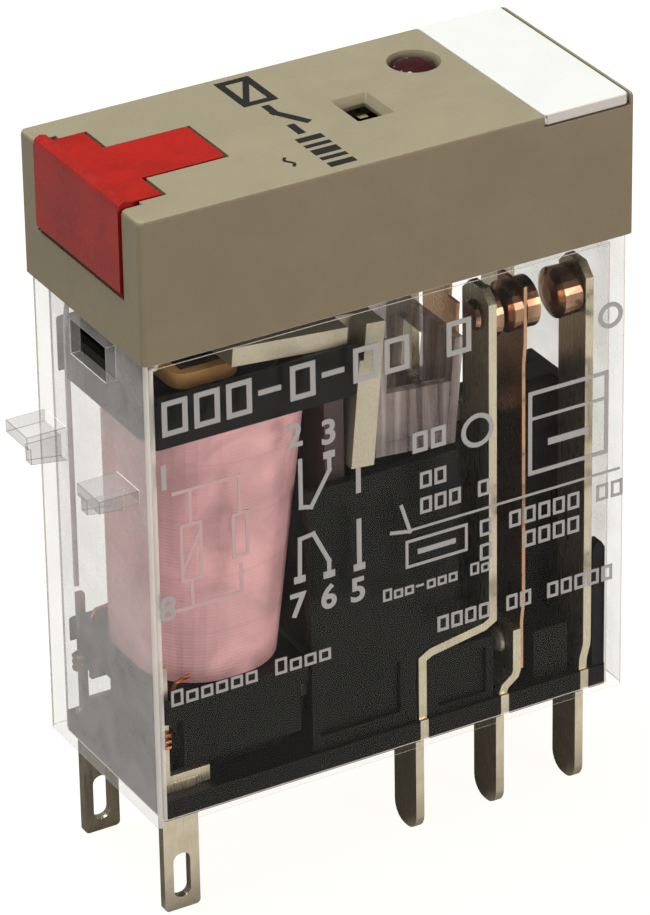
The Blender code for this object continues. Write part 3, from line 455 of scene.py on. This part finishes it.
def finished(node, width):
    """The CAD solid with its triangles merged back into faces and its edges rounded."""
    mesh = frame["nodes"][node].data.copy()
    shape = bmesh.new()
    shape.from_mesh(mesh)
    bmesh.ops.remove_doubles(shape, verts=shape.verts, dist=0.0015 * MM)
    bmesh.ops.dissolve_limit(shape, angle_limit=math.radians(0.6), verts=shape.verts, edges=shape.edges)
    for edge in shape.edges:
        edge.smooth = True
    shape.to_mesh(mesh)
    shape.free()
    for polygon in mesh.polygons:
        polygon.use_smooth = True
    if "sharp_edge" not in mesh.attributes:
        mesh.attributes.new("sharp_edge", "BOOLEAN", "EDGE")
    piece = new_piece(f"{node}_finished", mesh, SLOT_OF[node])
    rounding = piece.modifiers.new("Rounded edges", "BEVEL")
    rounding.width = width * MM
    rounding.segments = ROUNDING_STEPS
    rounding.limit_method = "ANGLE"
    rounding.angle_limit = math.radians(ROUNDED_ANGLE)
    rounding.use_clamp_overlap = True
    rounding.miter_outer = "MITER_ARC"
    piece.data = evaluated(piece)
    piece.data.set_sharp_from_angle(angle=math.radians(SHARP_ANGLE))
    flatten = piece.modifiers.new("Flat faces", "WEIGHTED_NORMAL")
    flatten.keep_sharp = True
    flatten.weight = 100
    piece.data = evaluated(piece)
    mark_edges(piece.data, width)
    return place(piece, node, replace=True)


# Width of the rounding of each finished piece, in millimetres
FINISHED = {
    "cap": 0.10, "base": 0.07, "bobbin": 0.08, "test_lever": 0.10, "nameplate": 0.05, "armature": 0.08,
    "yoke": 0.08, "actuator_card": 0.06, "core": 0.08, "shading_ring": 0.06,
}
for side in ("near", "far"):
    for kind in ("nc", "com", "no", "coil"):
        FINISHED[f"{kind}_terminal_{side}"] = 0.045
for node, width in FINISHED.items():
    piece = finished(node, width)
    # The shading ring takes the paler, painted-bright copper.
    if node == "shading_ring":
        piece.data.materials[0] = LOOKS["copper_painted_bright"]


CASE_LOOKS = ("clear_plastic", "clear_end", "clear_corner_highlight", "clear_ledge", "clear_ledge_edge_shade")


def make_case():
    """The clear case: its sides, ends, rounded corners and two ledges each get their own look; the rounded
    corners carry a painted highlight and the ledges' edges a painted dark line.
    """
    piece = finished("case", 0.11)
    mesh = piece.data
    ledges_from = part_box("base")[0].x - 0.9 * MM
    mesh.materials.clear()
    for look in CASE_LOOKS:
        mesh.materials.append(LOOKS[look])
    for face in mesh.polygons:
        normal = [abs(c) for c in face.normal]
        square = max(normal) > SQUARE_ON
        if face.center.x < ledges_from:
            # Ledge faces get a grey see-through look; their rounded edges get the painted dark line.
            look = "clear_ledge" if square else "clear_ledge_edge_shade"
        elif not square:
            # Rounded corners get the painted highlight.
            look = "clear_corner_highlight"
        else:
            look = "clear_end" if normal[0] > 0.9 else "clear_plastic"
        face.material_index = CASE_LOOKS.index(look)


make_case()
replaced = {*FINISHED, "case"}


# ---------------------------------------------------------------- prints

# Depth of the ink in millimetres; strokes that cross lie at steps of their own
INK_PROUD = 0.012
INK_SUNK = 0.008
INK_STEP = 0.0015
INK_STEPS = 7


def printed(name, strokes, node, material, top=False):
    """Flat ink strokes, each (start, end, width): x and z on the node's near side, or x and y on its top."""
    low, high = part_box(node)
    shape = bmesh.new()
    for i, (start, end, width) in enumerate(strokes):
        step = i % INK_STEPS * INK_STEP
        start, end = Vector(start) * MM, Vector(end) * MM
        along = (end - start).normalized() * width * MM / 2
        across = Vector((-along.y, along.x))
        corners = (start - along - across, end + along - across, end + along + across, start - along + across)
        rings = []
        for depth in ((INK_PROUD + step) * MM, -(INK_SUNK + step) * MM):
            if top:
                ring = [(c.x, c.y, high.z + depth) for c in corners]
            else:
                ring = [(c.x, low.y - depth, c.y) for c in corners]
            rings.append([shape.verts.new(p) for p in ring])
        outer, inner = rings
        shape.faces.new(outer)
        shape.faces.new(inner[::-1])
        for k in range(4):
            shape.faces.new((outer[k], inner[k], inner[(k + 1) % 4], outer[(k + 1) % 4]))
    bmesh.ops.recalc_face_normals(shape, faces=shape.faces)
    mesh = bpy.data.meshes.new(name)
    shape.to_mesh(mesh)
    shape.free()
    return place(new_piece(name, mesh, material), node)


def line(points, width=0.28):
    """Strokes from point to point."""
    return [(a, b, width) for a, b in zip(points, points[1:])]


def frame_line(x0, x1, z0, z1, width=0.2):
    return line([(x0, z0), (x1, z0), (x1, z1), (x0, z1), (x0, z0)], width)


def boxes(x0, z, height, pattern, stroke):
    """Outlined boxes (b), half-height ones (a) and dashes (-) at an even pitch in place of characters."""
    strokes, width = [], height * 0.66
    for i, kind in enumerate(pattern):
        x = x0 + i * height * 0.92
        low = z - height / 2 + stroke / 2
        if kind in "ab":
            high = low + (height - stroke) * (1.0 if kind == "b" else 0.68)
            strokes += frame_line(x, x + width - stroke / 2, low, high, stroke)
        elif kind == "-":
            strokes += line([(x, z), (x + width - stroke, z)], stroke)
    return strokes


def ring_line(x, z, radius, width=0.22, steps=20):
    turn = [math.tau * i / steps for i in range(steps + 1)]
    return line([(x + radius * math.cos(t), z + radius * math.sin(t)) for t in turn], width)


def contact_diagram():
    """Two changeover contacts with small feet."""
    strokes = line([(-3.75, 19.4), (-3.75, 18.4), (-4.85, 16.55), (-5.45, 16.7), (-5.45, 19.4)], 0.24)
    strokes += line([(-5.6, 12.4), (-5.55, 14.85), (-4.75, 14.95), (-3.85, 13.1), (-3.85, 12.2)], 0.24)
    strokes += line([(-2.05, 17.9), (-2.05, 16.7)]) + line([(-2.05, 14.9), (-2.05, 12.2)])
    for x, z in ((-5.6, 12.5), (-3.75, 19.3), (-3.85, 12.3), (-2.05, 12.2)):
        strokes.append(((x - 0.14, z), (x + 0.14, z), 0.40))
    return strokes


def coil_diagram():
    """Coil and lamp side by side between the coil's two pins."""
    strokes = frame_line(-12.4, -11.3, 14.4, 17.6) + frame_line(-9.4, -8.6, 15.0, 17.4)
    for upright in (-11.85, -9.0):
        strokes += line([(upright, 17.6), (upright, 19.6)], 0.2) + line([(upright, 14.4), (upright, 12.8)], 0.2)
    strokes += line([(-12.8, 19.6), (-9.0, 19.6)], 0.2) + line([(-12.8, 12.8), (-9.0, 12.8)], 0.2)
    return strokes + line([(-12.3, 15.1), (-11.4, 16.9)], 0.2)


def rating_marks():
    """Boxes, dashes, frames and rings that stand where a maker's text and marks would."""
    strokes = boxes(-13.15, 23.95, 2.0, "bbb-b-bb b", 0.3)
    strokes += boxes(1.3, 18.5, 1.2, "bb", 0.24) + ring_line(5.1, 18.2, 0.85, 0.26)
    strokes += boxes(1.7, 16.2, 0.95, "bb", 0.17) + boxes(1.7, 14.7, 0.95, "bbb b", 0.17)
    strokes += frame_line(8.3, 13.0, 14.7, 19.4, 0.24) + line([(8.3, 17.9), (13.0, 17.9)], 0.18)
    strokes += line([(9.6, 16.3), (11.7, 16.3)], 0.4)
    strokes += line([(0.5, 15.0), (1.0, 13.4), (-0.1, 13.6)], 0.2) + line([(1.0, 13.45), (13.8, 13.45)], 0.14)
    strokes += frame_line(0.8, 4.4, 11.3, 12.8, 0.17) + line([(1.6, 12.05), (3.6, 12.05)], 0.3)
    strokes += boxes(5.3, 12.3, 0.98, "b bbbbb bb", 0.17) + boxes(5.3, 10.85, 0.98, "b  bbbb", 0.17)
    strokes += boxes(-0.6, 10.0, 0.72, "baa-aaa ba", 0.13) + boxes(2.7, 7.3, 0.92, "bbbb bb bbbbb", 0.17)
    strokes += boxes(-13.2, 7.7, 0.95, "baaaaa baaa", 0.15) + ring_line(13.2, 22.7, 0.62, 0.24)
    return strokes


def digits(name, where, node, material, size):
    """Pin numbers ((number, x, z) of each number's centre) in ink on the near side of the case."""
    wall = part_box(node)[0].y
    shape = bmesh.new()
    for number, x, z in where:
        curve = bpy.data.curves.new(name, "FONT")
        curve.body = str(number)
        curve.align_x, curve.align_y = "CENTER", "CENTER"
        curve.size = size * MM
        curve.extrude = (INK_PROUD + INK_SUNK) / 2 * MM
        curve.offset = 0.05 * MM
        curve.resolution_u = 4
        letter = bpy.data.objects.new(name, curve)
        mesh = bpy.data.meshes.new_from_object(letter)
        middle = wall - (INK_PROUD - INK_SUNK) / 2 * MM
        mesh.transform(Matrix.Translation((x * MM, middle, z * MM)) @ Matrix.Rotation(math.pi / 2, 4, "X"))
        shape.from_mesh(mesh)
        bpy.data.meshes.remove(mesh)
        bpy.data.objects.remove(letter)
    bmesh.ops.remove_doubles(shape, verts=shape.verts, dist=0.0001 * MM)
    mesh = bpy.data.meshes.new(name)
    shape.to_mesh(mesh)
    shape.free()
    return place(new_piece(name, mesh, material), node)


def cap_symbol():
    """Coil symbol, switch symbol and bars across the top of the cap, with a small wave beside them."""
    strokes = frame_line(-3.3, -1.7, 2.7, 5.5, 0.42) + line([(-3.1, 3.0), (-1.9, 5.2)], 0.34)
    strokes += line([(-2.5, 1.9), (-2.5, 1.1), (-1.6, -0.5)], 0.44) + line([(-2.5, -0.7), (-2.5, -1.5)], 0.44)
    for i, width in enumerate((0.5, 0.34, 0.62, 0.34, 0.5)):
        y = -2.4 - 0.8 * i
        strokes.append(((-3.2 + width / 2, y), (-1.7 - width / 2, y), width))
    wave = [(-4.7 + 0.13 * math.sin(math.tau * i / 10), -4.75 + 0.1 * i) for i in range(11)]
    return strokes + line(wave, 0.16)


def flag_patch():
    """An ochre patch on the part of the flag that stands under the window while the relay is at rest."""
    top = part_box("indicator_flag")[1].z
    mesh = bpy.data.meshes.new("flag_patch")
    shape = bmesh.new()
    bmesh.ops.create_grid(shape, x_segments=6, y_segments=8, size=0.5)
    for vert in shape.verts:
        round_off = 0.06 * (abs(vert.co.x * 2) ** 4 + abs(vert.co.y * 2) ** 4)
        vert.co = Vector((2.28 + vert.co.x * (0.62 - round_off), 1.0 + vert.co.y * (1.5 - round_off), 0)) * MM
        vert.co.z = top + 0.012 * MM
    walls = bmesh.ops.extrude_face_region(shape, geom=shape.faces[:])
    for piece in walls["geom"]:
        if isinstance(piece, bmesh.types.BMVert):
            piece.co.z = top - 0.01 * MM
    bmesh.ops.recalc_face_normals(shape, faces=shape.faces)
    shape.to_mesh(mesh)
    shape.free()
    place(new_piece("flag_patch", mesh, "flag_ochre"), "indicator_flag")


flag_patch()
printed("contact_diagram", contact_diagram(), "case", "print_grey")
printed("coil_diagram", coil_diagram(), "case", "print_faint")
printed("rating_bars", rating_marks(), "case", "print_grey")
PIN_NUMBERS = [(2, -5.75, 20.9), (3, -3.75, 20.55), (7, -5.75, 10.95), (6, -3.9, 10.9), (5, -2.15, 10.8),
               (1, -13.3, 20.6), (8, -13.3, 13.0)]
digits("pin_numbers", PIN_NUMBERS, "case", "print_grey", 1.95)
printed("cap_symbol", cap_symbol(), "cap", "print_black", top=True)
for node, obj in frame["nodes"].items():
    if node in replaced:
        continue
    obj.data.materials.clear()
    obj.data.materials.append(LOOKS["tinned_wire" if node.startswith("lamp_lead") else SLOT_OF[node]])
    for polygon in obj.data.polygons:
        polygon.material_index = 0


# ---------------------------------------------------------------- stage

def make_floor():
    mesh = bpy.data.meshes.new("floor")
    corners = [(x * FLOOR_HALF, y * FLOOR_HALF, 0) for x, y in ((-1, -1), (1, -1), (1, 1), (-1, 1))]
    mesh.from_pydata(corners, [], [(0, 1, 2, 3)])
    mesh.materials.append(plain_floor("floor"))
    floor = new_piece("floor", mesh)
    floor.location = (0, 0, FLOOR_Z * MM)


def area_light(name, where, target, size, power, colour):
    """Round soft light turned to the target."""
    lamp = bpy.data.lights.new(name, "AREA")
    lamp.shape = "DISK"
    lamp.size = size
    lamp.energy = power
    lamp.color = colour
    piece = bpy.data.objects.new(name, lamp)
    piece.location = where
    piece.rotation_mode = "QUATERNION"
    piece.rotation_quaternion = (Vector(where) - Vector(target)).to_track_quat("Z", "Y")
    bpy.context.scene.collection.objects.link(piece)


def make_light():
    world = bpy.data.worlds.new("studio")
    world.use_nodes = True
    sky = world.node_tree.nodes["Background"]
    sky.inputs["Color"].default_value = (1.0, 0.96, 0.90, 1.0)
    world.node_tree.links.new(brightness(world.node_tree, SKY_LEVELS), sky.inputs["Strength"])
    bpy.context.scene.world = world
    centre = (0.0, 0.0, 0.015)
    area_light("key", (-0.10, 0.12, 0.60), centre, 0.45, 5.5, (0.96, 1.0, 0.98))
    area_light("front", (0.22, -0.53, 0.16), centre, 0.40, 1.95, (1.0, 0.855, 0.79))
    area_light("fill", (-0.55, -0.10, 0.22), centre, 0.35, 0.75, (1.0, 0.90, 0.84))


def make_camera():
    azimuth, elevation, roll = (math.radians(v) for v in (VIEW_AZIMUTH, VIEW_ELEVATION, VIEW_ROLL))
    back = Vector((math.sin(azimuth) * math.cos(elevation), -math.cos(azimuth) * math.cos(elevation),
                   math.sin(elevation)))
    right = (-back).cross(Vector((0, 0, 1))).normalized()
    up = right.cross(-back)
    right, up = (math.cos(roll) * right + math.sin(roll) * up, math.cos(roll) * up - math.sin(roll) * right)
    data = bpy.data.cameras.new("camera")
    data.sensor_width = SENSOR
    data.sensor_fit = "AUTO"
    data.lens = VIEW_LENS
    data.clip_start, data.clip_end = 0.01, 20.0
    camera = bpy.data.objects.new("camera", data)
    where = (VIEW_RIGHT * right + VIEW_UP * up + VIEW_DISTANCE * back) * MM
    turn = Matrix((right, up, back)).transposed()
    camera.matrix_world = Matrix.Translation(where) @ turn.to_4x4()
    bpy.context.scene.collection.objects.link(camera)
    bpy.context.scene.camera = camera


make_floor()
make_light()
make_camera()
bpy.context.scene.view_settings.view_transform = "Standard"
